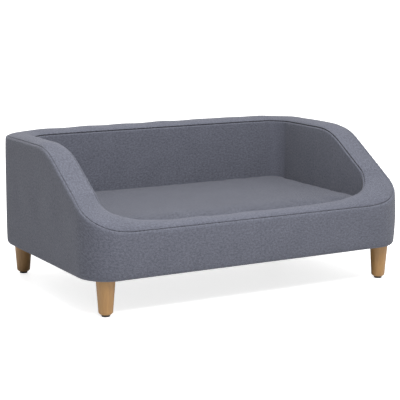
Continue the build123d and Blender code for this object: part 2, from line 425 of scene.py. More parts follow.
def walls(step):
    """The walls' plan as spokes from the inner face to the outer one, anticlockwise from the front
    left.

    Straight stretches have parallel spokes, and each corner has a fan of them from the inner
    corner's centre. Gives for each spoke its inner end, direction and length, and the heights of
    the outer and inner seams, and the distance run along the outer face, with that face's whole
    length at the end."""
    shell = settings().shell
    setback = WALL + shell.inner_radius
    centre_x, centre_y = HALF_WIDTH - setback, HALF_DEPTH - setback
    fan_size = max(6, round(QUARTER * setback * 0.9 / step))
    fan = np.linspace(0, QUARTER, fan_size, endpoint=False)
    starts, ways, reaches = [], [], []

    def straight(first, last, way):
        t = np.linspace(0, 1, max(2, round(math.dist(first, last) / step)), endpoint=False)[:, None]
        starts.append(np.array(first) * (1 - t) + np.array(last) * t)
        ways.append(np.tile(np.array(way, float), (len(t), 1)))
        reaches.append(np.full(len(t), WALL))

    def corner(centre, first_turn, radius):
        way = np.stack([np.cos(first_turn + fan), np.sin(first_turn + fan)], 1)
        starts.append(np.array(centre) + shell.inner_radius * way)
        ways.append(way)
        reaches.append(corner_reach(fan, setback, radius) - shell.inner_radius)

    straight((-centre_x, WALL - HALF_DEPTH), (centre_x, WALL - HALF_DEPTH), (0, -1))
    corner((centre_x, -centre_y), -QUARTER, shell.front_radius)
    straight((HALF_WIDTH - WALL, -centre_y), (HALF_WIDTH - WALL, centre_y), (1, 0))
    corner((centre_x, centre_y), 0, shell.back_radius)
    straight((centre_x, HALF_DEPTH - WALL), (-centre_x, HALF_DEPTH - WALL), (0, 1))
    corner((-centre_x, centre_y), QUARTER, shell.back_radius)
    straight((WALL - HALF_WIDTH, centre_y), (WALL - HALF_WIDTH, -centre_y), (-1, 0))
    corner((-centre_x, -centre_y), 2 * QUARTER, shell.front_radius)
    start, way, reach = np.concatenate(starts), np.concatenate(ways), np.concatenate(reaches)
    outer = start + way * reach[:, None]

    # Distance of each spoke from the arm's straight part, round the corner and along the rail
    fine = np.linspace(0, QUARTER, 400)
    fine_way = np.stack([np.cos(fine), np.sin(fine)], 1)
    bend = corner_reach(fine, setback, shell.front_radius)[:, None] * fine_way
    bend_run = np.concatenate([[0], np.cumsum(np.linalg.norm(np.diff(bend, axis=0), axis=1))])
    turn = np.arctan2(-way[:, 1], np.abs(way[:, 0]))
    on_rail = np.clip(centre_x - np.abs(start[:, 0]), 0, None) * (way[:, 1] < -0.99)
    outer_distance = np.interp(turn, fine, bend_run) + on_rail
    inner_distance = shell.inner_radius * np.clip(turn, 0, None) + on_rail
    rail = FRONT_TOP - shell.rail_drop
    drop = float(arm_height(np.array(-centre_y))) - rail
    in_front = start[:, 1] < -centre_y + 1e-6
    beside = arm_height(start[:, 1])
    height_out = np.where(in_front, rail + outer_fall(outer_distance, drop), beside)
    fading = drop * np.exp(-inner_distance / shell.inner_run_out)
    height_in = np.where(in_front, rail + fading, beside)
    back_corner = np.array((HALF_WIDTH, HALF_DEPTH)) - 30 * MM
    from_corner = np.linalg.norm(np.abs(outer) - back_corner, axis=1)
    dip = shell.corner_dip * np.exp(-((from_corner / (110 * MM)) ** 2)) * (start[:, 1] > 0)
    run = np.linalg.norm(np.roll(outer, -1, 0) - outer, axis=1)
    level_out = smoothed(height_out - dip, 3)
    level_in = smoothed(height_in - dip - shell.inner_drop, 5)
    return {
        "start": start,
        "way": way,
        "reach": reach[:, None],
        "outer_seam": level_out[:, None],
        "inner_seam": level_in[:, None],
        "run": np.concatenate([[0], np.cumsum(run)]),
    }


def ripple(wall, waves, seed, size):
    """A smooth wave along the walls: a sum of sines with whole numbers of turns and random
    phases."""
    chance = np.random.default_rng(seed)
    sines = 14
    turns = chance.integers(waves // 2, waves, sines)
    phases = chance.uniform(0, 2 * math.pi, sines)
    angles = 2 * math.pi * wall["run"][:-1, None] * turns / wall["run"][-1] + phases
    return size * np.sin(angles).sum(1)[:, None] / math.sqrt(sines)


def crown_of(wall):
    """Rise of the band over its seams: most on the low rail, least on the slopes, more again on the
    back."""
    shell = settings().shell
    high, low = TOP - shell.seam_drop, FRONT_TOP - shell.rail_drop
    share = (wall["outer_seam"][:, 0] - low) / (high - low)
    crowns = (shell.front_crown, shell.slope_crown, shell.slope_crown, shell.back_crown)
    return smoothed(np.interp(share, (0, 0.35, 0.97, 1), crowns), 6)[:, None]


def tuck(down, inward):
    """Edge that turns down into a seam, a quarter ellipse from its deepest place: inward and down
    parts."""
    t = np.linspace(0, QUARTER, TUCK, endpoint=False)[None]
    return inward * np.cos(t), down * (1 - np.sin(t))


def panel_profile(wall):
    """Outer panel, from its tucked-in top edge down to its hem: insets and heights at each spoke.

    A small arc out of the seam, a quarter ellipse for the shoulder, a side that swells by a power
    of a half sine, a quarter circle under the base, and a flat hem."""
    shell = settings().shell
    seam = wall["outer_seam"]
    none = 0 * seam
    tuck_in, tuck_down = tuck(shell.seam_depth, shell.seam_gap + 5 * MM)
    turn = np.linspace(0, QUARTER, SHOULDER, endpoint=False)[None]
    side = np.linspace(0, 1, 34, endpoint=False)[None]
    side_low = UNDERSIDE + shell.base_rounding
    side_top = seam - shell.shoulder
    swell = shell.belly * np.sin(math.pi * side) ** 0.8
    wave = ripple(wall, 26, 9, 0.9 * MM) * np.sin(math.pi * side) ** 2
    hem = np.linspace(shell.base_rounding, HEM, 4)[None]
    inset = [
        shell.seam_inset + tuck_in + none,
        shell.seam_inset * (1 - np.sin(turn)) + none,
        wave - swell,
        shell.base_rounding * (1 - np.cos(turn)) + none,
        hem + none,
    ]
    height = [
        seam - tuck_down,
        seam - shell.shoulder * (1 - np.cos(turn)),
        side_top + (side_low - side_top) * side,
        UNDERSIDE + shell.base_rounding * (1 - np.sin(turn)) + none,
        UNDERSIDE + 0 * hem + none,
    ]
    inset, height = np.concatenate(inset, 1), np.concatenate(height, 1)
    pucker = ripple(wall, 330, 5, 0.5 * MM) * np.exp(-(((seam - height) / (9 * MM)) ** 2))
    return inset + pucker, height


def band_profile(wall):
    """Band on top of a wall, from its outer seam to its inner one: insets and heights at each
    spoke.

    Between the seams it is a flattened arch, one minus the square of the place across to a low
    power, times the crown, with an edge tucked in at each end."""
    shell = settings().shell
    reach, first, last = wall["reach"], wall["outer_seam"], wall["inner_seam"]
    across = (0.5 - 0.5 * np.cos(np.linspace(0, math.pi, 30)))[None]
    start = shell.seam_inset + shell.seam_gap + CLOTH
    finish = shell.inner_inset + shell.seam_gap + CLOTH
    width = reach - start - finish
    arch = np.clip(1 - (2 * across - 1) ** 2, 0, 1) ** 0.62
    inset = start + width * across
    from_first, from_last = across * width, (1 - across) * width
    near, far = 10 * MM, 25 * MM
    pucker = ripple(wall, 360, 21, 0.55 * MM) * np.exp(-((from_first / near) ** 2))
    pucker = pucker + ripple(wall, 360, 22, 0.55 * MM) * np.exp(-((from_last / near) ** 2))
    wave = ripple(wall, 30, 23, 0.8 * MM) * np.clip(np.minimum(from_first, from_last) / far, 0, 1)
    height = first + (last - first) * across + crown_of(wall) * arch + pucker + wave
    tuck_in, tuck_down = tuck(shell.seam_depth, CLOTH)
    none = 0 * first
    first_edge, last_edge = start + tuck_in + none, finish + tuck_in + none
    inset = np.concatenate([first_edge, inset, reach - last_edge[:, ::-1]], 1)
    start_edge, end_edge = height[:, :1] - tuck_down, height[:, -1:] - tuck_down[:, ::-1]
    return inset, np.concatenate([start_edge, height, end_edge], 1)


def lining_profile(wall):
    """Lining, from its tucked-in top edge at the inner seam down to the deck: insets and
    heights."""
    shell = settings().shell
    seam = wall["inner_seam"] - shell.inner_lip
    none = 0 * seam
    tuck_in, tuck_down = tuck(shell.seam_depth, shell.seam_gap + 5 * MM)
    turn = np.linspace(0, QUARTER, SHOULDER - 1, endpoint=False)[None]
    side = np.linspace(0, 1, 26)[None]
    side_top = seam - shell.inner_shoulder
    swell = 0.3 * shell.belly * np.sin(math.pi * side) ** 0.8
    wave = np.minimum(ripple(wall, 22, 31, 0.5 * MM), 0) * np.sin(math.pi * side) ** 2
    depth = [
        shell.inner_inset + tuck_in + none,
        shell.inner_inset * (1 - np.sin(turn)) + none,
        wave - swell,
    ]
    height = [
        seam - tuck_down,
        seam - shell.inner_shoulder * (1 - np.cos(turn)),
        side_top + (DECK - side_top) * side,
    ]
    depth, height = np.concatenate(depth, 1), np.concatenate(height, 1)
    pucker = ripple(wall, 330, 33, 0.45 * MM) * np.exp(-(((seam - height) / (9 * MM)) ** 2))
    return wall["reach"] - depth + pucker, height


def moved(profile, by):
    """A profile moved by a distance to the left of its direction of travel."""
    inset, height = profile
    along_in, along_z = np.gradient(inset, axis=1), np.gradient(height, axis=1)
    size = np.sqrt(along_in**2 + along_z**2) + TINY
    return inset - by * along_z / size, height + by * along_in / size


def wall_points(profile, wall):
    """Points of a wall: each spoke's profile of insets from the outer face, at its heights."""
    inset, height = profile
    out = wall["reach"] - inset
    flat = wall["start"][:, None, :] + wall["way"][:, None, :] * out[:, :, None]
    return np.concatenate([flat, height[:, :, None]], 2)


def arc_length(points):
    """Distance run down each row of points, from its first one."""
    steps = np.linalg.norm(np.diff(points, axis=1), axis=2)
    return np.concatenate([np.zeros((len(points), 1)), np.cumsum(steps, 1)], 1)


# --- Mesh helpers ---------------------------------------------------------------------------------


def grid_mesh(name, points, along, across, closed, caps=False):
    """Mesh of a grid of points, with a UV map in metres.

    points is rows by columns by 3. Rows join up into a ring where closed is true, and each row's
    columns join up where caps is true, which also closes the two end rows. along is the distance
    run at each row, with one more for the ring's end, and across the distance at each row and
    column."""
    rows, columns = points.shape[:2]
    last = rows if closed else rows - 1
    wrap = columns if caps else columns - 1
    i, j = np.meshgrid(np.arange(last), np.arange(wrap), indexing="ij")
    i, j = i.ravel(), j.ravel()
    i_next, j_next = (i + 1) % rows, (j + 1) % columns
    here, there = i * columns, i_next * columns
    faces = np.stack([here + j, here + j_next, there + j_next, there + j], 1).tolist()
    if caps:
        faces.append(list(range(columns))[::-1])
        faces.append([(rows - 1) * columns + column for column in range(columns)])
    mesh = bpy.data.meshes.new(name)
    mesh.from_pydata(points.reshape(-1, 3).tolist(), [], faces)
    u = np.stack([along[i], along[i], along[i + 1], along[i + 1]], 1)
    v = np.stack([across[i, j], across[i, j_next], across[i_next, j_next], across[i_next, j]], 1)
    uv = np.stack([u, v], 2).reshape(-1, 2)
    layer = mesh.uv_layers.new(name="UVMap")
    flat = np.zeros(len(mesh.loops) * 2)
    flat[: uv.size] = uv.ravel()
    layer.data.foreach_set("uv", flat)
    mesh.shade_smooth()
    return mesh


def mark_seams(mesh, from_edge):
    """Writes how much of each point is in a seam's fold, as the mask of the painted shade that the
    cloth's material darkens there, from its distance to the cloth's tucked edge: one inside the fold,
    and falling to zero over a short fade outside it."""
    fade = 2 * MM
    share = np.clip(1 - (from_edge - settings().shell.seam_depth) / fade, 0, 1)
    # The seam attribute holds the mask of painted shade in the seams' folds
    layer = mesh.attributes.new("seam", "FLOAT", "POINT")
    layer.data.foreach_set("value", np.ascontiguousarray(share, np.float32).ravel())


def new_piece(name, mesh, material, body):
    """Puts a mesh in the scene as a piece that rides on a body."""
    piece = bpy.data.objects.new(name, mesh)
    bpy.context.scene.collection.objects.link(piece)
    piece.data.materials.append(material)
    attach(piece, body)
    return piece


def thicken(piece, thickness):
    """Gives a cloth surface its thickness, inwards."""
    solid = piece.modifiers.new("cloth", "SOLIDIFY")
    solid.thickness = thickness
    solid.offset = -1
    solid.use_quality_normals = True


def evaluated_mesh(piece):
    """A new mesh of a piece with its modifiers applied."""
    graph = bpy.context.evaluated_depsgraph_get()
    graph.update()
    return bpy.data.meshes.new_from_object(piece.evaluated_get(graph))


def vertex_places(mesh):
    """A mesh's vertices as an array."""
    flat = np.zeros(len(mesh.vertices) * 3)
    mesh.vertices.foreach_get("co", flat)
    return flat.reshape(-1, 3)


def fix_up(mesh, closed=False):
    """Turns a mesh's faces the right way: outwards where it is closed, and upwards where it is a
    sheet."""
    shape = bmesh.new()
    shape.from_mesh(mesh)
    bmesh.ops.recalc_face_normals(shape, faces=shape.faces)
    shape.normal_update()
    if not closed and sum(face.normal.z * face.calc_area() for face in shape.faces) < 0:
        bmesh.ops.reverse_faces(shape, faces=shape.faces)
    shape.to_mesh(mesh)
    shape.free()


def merged_copy(node):
    """A closed copy of a frame node, with its loose triangles joined up."""
    shape = bmesh.new()
    shape.from_mesh(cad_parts[node].data)
    bmesh.ops.remove_doubles(shape, verts=shape.verts, dist=0.01 * MM)
    bmesh.ops.recalc_face_normals(shape, faces=shape.faces)
    mesh = bpy.data.meshes.new(f"{node}_copy")
    shape.to_mesh(mesh)
    shape.free()
    copy = bpy.data.objects.new(f"{node}_copy", mesh)
    bpy.context.scene.collection.objects.link(copy)
    return copy


def carve(piece, cutters):
    """Cuts the cutters' shapes out of a piece."""
    for cutter in cutters:
        cut = piece.modifiers.new("cut", "BOOLEAN")
        cut.operation = "DIFFERENCE"
        cut.solver = "EXACT"
        cut.object = cutter
    mesh = evaluated_mesh(piece)
    piece.modifiers.clear()
    piece.data = mesh


def close_pole(mesh, points, column):
    """Closes the ring of points in a grid's first or last column with one face."""
    rows, columns = points.shape[:2]
    shape = bmesh.new()
    shape.from_mesh(mesh)
    shape.verts.ensure_lookup_table()
    ring = [shape.verts[row * columns + column] for row in range(rows)]
    face = shape.faces.new(ring[::-1] if column else ring)
    face.smooth = True
    layer = shape.loops.layers.uv.verify()
    for loop in face.loops:
        loop[layer].uv = loop.vert.co.xy
    shape.normal_update()
    shape.to_mesh(mesh)
    shape.free()


def rounded_ring(half, radius, step):
    """Points round a rectangle with round corners about the origin, anticlockwise, with their
    outward directions and the distance run, the whole length last. Straight sides and arcs are
    sampled by length."""
    centre = np.asarray(half) - radius
    arc = QUARTER * radius
    sides = (2 * centre[0], arc, 2 * centre[1], arc) * 2
    ends = np.concatenate([[0], np.cumsum(sides)])
    count = 2 * (round(ends[-1] / step) // 2)
    run = np.linspace(0, ends[-1], count + 1)
    place = run[:-1]
    part = np.clip(np.searchsorted(ends, place, side="right") - 1, 0, 7)
    share = (place - ends[part]) / np.array(sides)[part]
    quarter = part // 2
    turn = QUARTER * (quarter - 1 + np.where(part % 2 == 1, share, 0))
    way = np.stack([np.cos(turn), np.sin(turn)], 1)
    corner = np.array([(1, -1), (1, 1), (-1, 1), (-1, -1)]) * centre
    first = np.array([(-1, -1), (1, -1), (1, 1), (-1, 1)]) * centre
    on_side = (part % 2 == 0)[:, None]
    side = first[quarter] + (corner[quarter] - first[quarter]) * share[:, None]
    base = np.where(on_side, side, corner[quarter])
    return base + radius * way, way, run


def soft_limit(value, limit, soft):
    """A value held under a limit, rounding off over a soft distance below it."""
    return limit - soft * np.logaddexp(0, (limit - value) / soft)


def dress(nodes, material):
    """Gives frame nodes a finish."""
    for node in nodes:
        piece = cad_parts[node]
        if not piece.data.materials:
            piece.data.materials.append(material)
        for slot in piece.material_slots:
            slot.material = material


# --- Shader helpers and shared effects ------------------------------------------------------------


def put(tree, kind, inputs=None, **values):
    """Adds a node, sets its values, and sets or links its inputs."""
    node = tree.nodes.new(kind)
    for key, value in values.items():
        setattr(node, key, value)
    for key, value in (inputs or {}).items():
        if isinstance(value, bpy.types.NodeSocket):
            tree.links.new(value, node.inputs[key])
        else:
            node.inputs[key].default_value = value
    return node


def calc(tree, operation, *terms, clamp=False):
    """A Math node's result."""
    node = put(tree, "ShaderNodeMath", dict(enumerate(terms)), operation=operation, use_clamp=clamp)
    return node.outputs[0]


def blend_colours(tree, share, first, second, blend_type="MIX"):
    """A Mix node's colour."""
    node = put(tree, "ShaderNodeMix", data_type="RGBA", blend_type=blend_type)
    for key, value in (("Factor_Float", share), ("A_Color", first), ("B_Color", second)):
        socket = next(s for s in node.inputs if s.identifier == key)
        if isinstance(value, bpy.types.NodeSocket):
            tree.links.new(value, socket)
        else:
            socket.default_value = value
    return next(s for s in node.outputs if s.identifier == "Result_Color")


def noise(tree, vector, scale, detail=2.0, rough=0.5):
    """A Noise Texture's value."""
    values = {"Vector": vector, "Scale": scale, "Detail": detail, "Roughness": rough}
    return put(tree, "ShaderNodeTexNoise", values).outputs["Fac"]


def streaks(tree, vector, stretch, detail=2.0, rough=0.6, scale=1.0):
    """A Noise Texture's value, its vector multiplied along the three axes first."""
    values = {"Vector": vector, "Scale": stretch}
    place = put(tree, "ShaderNodeMapping", values, vector_type="POINT").outputs[0]
    return noise(tree, place, scale, detail, rough)


def weighted(tree, *parts, start=0.0):
    """A start value plus the sum of values that each have a weight."""
    total = start
    for value, weight in parts:
        total = calc(tree, "MULTIPLY_ADD", value, weight, total)
    return total


def clamped(tree, value):
    """A value held between 0 and 1."""
    return calc(tree, "ADD", value, 0.0, clamp=True)


def contrast(tree, value, low, high):
    """A value spread from low..high to 0..1."""
    node = put(tree, "ShaderNodeMapRange", {"Value": value, "From Min": low, "From Max": high})
    return node.outputs[0]


def new_group(name, **values):
    """An empty shader node group: a vector, two colours and the named values go in, and a colour, a
    height and a roughness come out. Returns the group and its sockets for what goes in and comes
    out."""
    group = bpy.data.node_groups.new(name, "ShaderNodeTree")
    for way, kind, labels in (
        ("INPUT", "NodeSocketVector", ("Vector",)),
        ("INPUT", "NodeSocketColor", ("Light", "Dark")),
        ("INPUT", "NodeSocketFloat", values),
        ("OUTPUT", "NodeSocketColor", ("Color",)),
        ("OUTPUT", "NodeSocketFloat", ("Height", "Roughness")),
    ):
        for label in labels:
            socket = group.interface.new_socket(label, in_out=way, socket_type=kind)
            if label in values:
                socket.default_value = values[label]
    entry = group.nodes.new("NodeGroupInput")
    leave = group.nodes.new("NodeGroupOutput")
    return group, entry.outputs, leave.inputs


def give(group, leave, *results):
    """Links a group's colour, height and roughness to its output. Returns the group."""
    for value, socket in zip(results, leave):
        group.links.new(value, socket)
    return group


def weave_group():
    """Plain weave of melange yarn: threads over and under, streaked with light and dark fibre, with
    painted shade between the threads and in the seams' folds.
    """
    # The Seam input is the mask of painted shade in the seams' folds, zero where a piece has none
    group, entry, leave = new_group("weave_group", Pitch=1.3 * MM, Seam=0.0)
    parts = put(group, "ShaderNodeSeparateXYZ", {0: entry["Vector"]}).outputs
    turns_u = calc(group, "DIVIDE", parts[0], entry["Pitch"])
    turns_v = calc(group, "DIVIDE", parts[1], entry["Pitch"])
    wave_u = calc(group, "SINE", calc(group, "MULTIPLY", turns_u, math.pi))
    wave_v = calc(group, "SINE", calc(group, "MULTIPLY", turns_v, math.pi))
    over = calc(group, "MULTIPLY", wave_u, wave_v)
    warp_on_top = calc(group, "GREATER_THAN", over, 0.0)
    bump = calc(group, "POWER", calc(group, "ABSOLUTE", over), 0.6)
    grid = put(group, "ShaderNodeCombineXYZ", {0: turns_u, 1: turns_v}).outputs[0]
    warp = streaks(group, grid, (1.0, 0.13, 1.0), 3.0, 0.65, 1.1)
    weft = streaks(group, grid, (0.13, 1.0, 1.0), 3.0, 0.65, 1.1)
    picks = {0: warp_on_top, 2: weft, 3: warp}
    yarn = contrast(group, put(group, "ShaderNodeMix", picks, data_type="FLOAT").outputs[0], 0.28, 0.72)
    flecks = contrast(group, streaks(group, grid, (0.5, 0.6, 1.0)), 0.35, 0.65)
    tufts = contrast(group, streaks(group, grid, (0.19, 0.27, 1.0)), 0.35, 0.65)
    heather = weighted(group, (flecks, 0.45), (tufts, 0.55))
    cloud = streaks(group, grid, (0.02, 0.02, 1.0), rough=0.5)
    share = clamped(group, weighted(group, (yarn, 0.38), (heather, 0.62), (cloud, 0.22), start=-0.11))
    colour = blend_colours(group, share, entry["Dark"], entry["Light"])
    # Painted shade: the seam mask darkens the colour by up to six tenths inside the seams' folds
    seam_painted_shade = weighted(group, (entry["Seam"], -0.6), start=1.0)
    # Painted shade between the threads: the colour is darker where the weave's bump is low
    shade = calc(group, "MULTIPLY", weighted(group, (bump, 0.22), start=0.83), seam_painted_shade)
    dim = put(group, "ShaderNodeCombineColor", {0: shade, 1: shade, 2: shade}).outputs[0]
    colour = blend_colours(group, 1.0, colour, dim, "MULTIPLY")
    fuzz = streaks(group, grid, (3.0, 3.0, 1.0), rough=0.5)
    height = weighted(group, (fuzz, 0.5), start=bump)
    return give(group, leave, colour, height, weighted(group, (share, -0.1), start=0.95))


def grain_group():
    """Straight-grained timber along Z: broad figure, fine fibre lines and small dark pores."""
    group, entry, leave = new_group("grain_group", Scale=1.0)
    inputs = {0: entry["Vector"], 3: entry["Scale"]}
    place = put(group, "ShaderNodeVectorMath", inputs, operation="SCALE").outputs[0]
    figure = streaks(group, place, (45, 45, 4.5), 3.0)
    rings = calc(group, "SINE", calc(group, "MULTIPLY", figure, 38.0))
    fibre = contrast(group, streaks(group, place, (900, 900, 26)), 0.3, 0.7)
    pore = contrast(group, streaks(group, place, (1500, 1500, 90), 1.0, 0.5), 0.66, 0.74)
    share = clamped(group, weighted(group, (rings, 0.16), (fibre, 0.32), (figure, 0.5)))
    colour = blend_colours(group, share, entry["Light"], entry["Dark"])
    colour = blend_colours(group, calc(group, "MULTIPLY", pore, 0.45), colour, entry["Dark"])
    height = weighted(group, (fibre, 0.4), (pore, -0.8))
    return give(group, leave, colour, height, weighted(group, (fibre, 0.12), start=0.42))


def speckle_group():
    """Irregular small cells, for foam, filling, bonded cloth, moulded plastic and plated steel."""
    group, entry, leave = new_group("speckle_group", Scale=400.0)
    inputs = {"Vector": entry["Vector"], "Scale": entry["Scale"]}
    cells = put(group, "ShaderNodeTexVoronoi", inputs).outputs[0]
    patches = noise(group, entry["Vector"], 35.0, 3.0, 0.6)
    share = clamped(group, weighted(group, (cells, 0.6), (patches, 0.5)))
    colour = blend_colours(group, share, entry["Dark"], entry["Light"])
    return give(group, leave, colour, cells, weighted(group, (patches, 0.3), start=0.35))


def finish_material(name, effect, vector_kind, values, bump, **shader):
    """A material: one shared effect feeds the Principled shader's colour, roughness and bump."""
    name = f"{name}_finish"
    known = bpy.data.materials.get(name)
    if known:
        return known
    material = bpy.data.materials.new(name)
    material.use_nodes = True
    tree = material.node_tree
    tree.nodes.clear()
    place = put(tree, "ShaderNodeTexCoord").outputs[vector_kind]
    group = bpy.data.node_groups.get(effect.__name__) or effect()
    look = put(tree, "ShaderNodeGroup", node_tree=group)
    tree.links.new(place, look.inputs["Vector"])
    for key, value in values.items():
        look.inputs[key].default_value = value
    # The seam attribute is the mask of painted shade in the seams' folds
    if "Seam" in look.inputs:
        seam = put(tree, "ShaderNodeAttribute", attribute_name="seam")
        tree.links.new(seam.outputs["Fac"], look.inputs["Seam"])
    strength, distance = bump
    heights = {"Height": look.outputs["Height"], "Strength": strength, "Distance": distance}
    bumped = put(tree, "ShaderNodeBump", heights)
    surface = put(
        tree,
        "ShaderNodeBsdfPrincipled",
        {
            "Base Color": look.outputs["Color"],
            "Roughness": look.outputs["Roughness"],
            "Normal": bumped.outputs[0],
            **shader,
        },
    )
    out = put(tree, "ShaderNodeOutputMaterial")
    tree.links.new(surface.outputs[0], out.inputs[0])
    return material


def rgba(colour):
    """A colour with full alpha."""
    return (*colour, 1.0)


def melange(name="melange_fabric", shade=1.0):
    """The upholstery cloth, which follows the pieces' own UV maps, at a share of its brightness; a
    share below one gives a darker copy of the same cloth, which is painted shade.
    """
    fabric = settings().fabric
    light, dark = Vector(fabric.light) * shade, Vector(fabric.dark) * shade
    return finish_material(
        name,
        weave_group,
        "UV",
        {"Pitch": fabric.pitch, "Light": rgba(light), "Dark": rgba(dark)},
        (0.55, 0.35 * MM),
        **{"Sheen Weight": 0.12, "Sheen Roughness": 0.5, "Specular IOR Level": 0.2},
    )


def wood(name, light, dark, scale=1.0, **shader):
    """A timber finish."""
    values = {"Scale": scale, "Light": rgba(light), "Dark": rgba(dark)}
    return finish_material(name, grain_group, "Object", values, (0.25, 0.2 * MM), **shader)


def speckled(name, light, dark, scale, bump, **shader):
    """A finish of small irregular cells."""
    values = {"Scale": scale, "Light": rgba(light), "Dark": rgba(dark)}
    return finish_material(name, speckle_group, "Object", values, bump, **shader)


def zinc_steel():
    """Plated steel of the bolts, screws, T-nuts and staples."""
    light, dark = (0.6, 0.6, 0.58), (0.45, 0.45, 0.44)
    return speckled("zinc_steel", light, dark, 260.0, (0.1, 0.05 * MM), Metallic=1.0)


# --- Operators, one for each piece or group of like pieces ----------------------------------------


class PETSOFA_OT_stage(Operator):
    """Camera, soft studio lights and a plain pale floor"""

    bl_idname = "pet_sofa.stage"
    bl_label = "Stage"

    def execute(self, context):
        stage = settings().stage
        a, e, roll = stage.azimuth, stage.elevation, stage.roll
        back = Vector((math.sin(a) * math.cos(e), -math.cos(a) * math.cos(e), math.sin(e)))
        right = Vector((math.cos(a), math.sin(a), 0))
        up = back.cross(right)
        rolled_right = right * math.cos(roll) + up * math.sin(roll)
        rolled_up = up * math.cos(roll) - right * math.sin(roll)
        data = bpy.data.cameras.new("camera")
        data.lens = stage.lens
        data.sensor_width = 36
        data.clip_end = 200
        camera = bpy.data.objects.new("camera", data)
        context.scene.collection.objects.link(camera)
        camera.location = Vector((stage.target_x, 0, stage.target_z)) + back * stage.distance
        turn = Matrix((rolled_right, rolled_up, back)).transposed()
        camera.rotation_mode = "QUATERNION"
        camera.rotation_quaternion = turn.to_quaternion()
        context.scene.camera = camera

        context.scene.world = self.surroundings(stage.daylight)
        self.lamp(context, "key", (-0.3, -1.15, 2.25), 1.3, stage.key)
        self.floor(context)
        context.scene.view_settings.view_transform = "Standard"
        return {"FINISHED"}

    def surroundings(self, daylight):
        """A studio that is bright overhead and behind the sofa, and dimmer on its front and
        left."""
        world = bpy.data.worlds.new("studio")
        world.use_nodes = True
        tree = world.node_tree
        way = put(tree, "ShaderNodeTexCoord").outputs["Generated"]
        bright = Vector((0.6, 0.75, 0.33)).normalized()
        facing = put(tree, "ShaderNodeVectorMath", {0: way, 1: bright}, operation="DOT_PRODUCT")
        values = {"Value": facing.outputs["Value"], "From Min": -0.7, "From Max": 0.35}
        level = put(tree, "ShaderNodeMapRange", {**values, "To Min": 0.13, "To Max": 1.03})
        strength = calc(tree, "MULTIPLY", level.outputs[0], daylight)
        tree.links.new(strength, tree.nodes["Background"].inputs["Strength"])
        tree.nodes["Background"].inputs["Color"].default_value = (1, 1, 1, 1)
        return world

    def lamp(self, context, name, place, size, power):
        """A square light that faces the sofa's middle."""
        data = bpy.data.lights.new(name, "AREA")
        data.size = size
        data.energy = power
        lamp = bpy.data.objects.new(name, data)
        lamp.location = place
        aim = Vector((0, 0, 0.2)) - Vector(place)
        lamp.rotation_mode = "QUATERNION"
        lamp.rotation_quaternion = aim.to_track_quat("-Z", "Y")
        context.scene.collection.objects.link(lamp)

    def floor(self, context):
        """A flat square floor, which the camera sees as a nearly shadowless white sweep."""
        reach = np.array((-60.0, -20.0, 20.0, 60.0))
        across, along = np.meshgrid(reach, reach, indexing="ij")
        points = np.stack([across, along, np.zeros_like(across)], 2)
        mesh = grid_mesh("floor", points, reach, np.tile(reach, (len(reach), 1)), False)
        floor = bpy.data.objects.new("floor", mesh)
        context.scene.collection.objects.link(floor)
        material = speckled("floor", (0.76, 0.76, 0.76), (0.73, 0.73, 0.73), 300.0, (0.02, 0.1 * MM))
        tree = material.node_tree
        seen = put(tree, "ShaderNodeLightPath").outputs["Is Camera Ray"]
        glow = weighted(tree, (seen, 0.7), start=0.06)
        surface = tree.nodes["Principled BSDF"]
        surface.inputs["Emission Color"].default_value = (1, 1, 1, 1)
        tree.links.new(glow, surface.inputs["Emission Strength"])
        mesh.materials.append(material)


class PETSOFA_OT_outer_cover(Operator):
    """Fabric panel round the outside of the walls, with its hem under the base"""

    bl_idname = "pet_sofa.outer_cover"
    bl_label = "Outer cover"

    def execute(self, context):
        wall = walls(settings().shell.step)
        points = wall_points(panel_profile(wall), wall)
        mesh = grid_mesh("outer_panel", points, wall["run"], arc_length(points), True)
        # Mask of the painted shade in the seams' folds
        mark_seams(mesh, arc_length(points))
        piece = new_piece("outer_panel", mesh, melange(), "root")
        thicken(piece, CLOTH)
        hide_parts("outer_cover")
        return {"FINISHED"}


class PETSOFA_OT_top_band(Operator):
    """Padded band on top of the walls, sewn to the panels on both sides"""

    bl_idname = "pet_sofa.top_band"
    bl_label = "Top band"

    def execute(self, context):
        wall = walls(settings().shell.step)
        points = wall_points(band_profile(wall), wall)
        mesh = grid_mesh("padded_band", points, wall["run"], arc_length(points), True)
        mesh.flip_normals()
        across = arc_length(points)
        from_edge = np.minimum(across, across[:, -1:] - across)
        # Mask of the painted shade in the seams' folds
        mark_seams(mesh, from_edge)
        piece = new_piece("padded_band", mesh, melange(), "root")
        thicken(piece, CLOTH)
        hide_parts("top_band")
        return {"FINISHED"}


class PETSOFA_OT_lining(Operator):
    """Fabric on the walls' inner faces"""

    bl_idname = "pet_sofa.lining"
    bl_label = "Lining"

    def execute(self, context):
        wall = walls(settings().shell.step)
        points = wall_points(lining_profile(wall), wall)
        mesh = grid_mesh("wall_lining", points, wall["run"], arc_length(points), True)
        mesh.flip_normals()
        # Mask of the painted shade in the seams' folds
        mark_seams(mesh, arc_length(points))
        piece = new_piece("wall_lining", mesh, melange(), "root")
        thicken(piece, CLOTH)
        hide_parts("inner_lining")
        return {"FINISHED"}


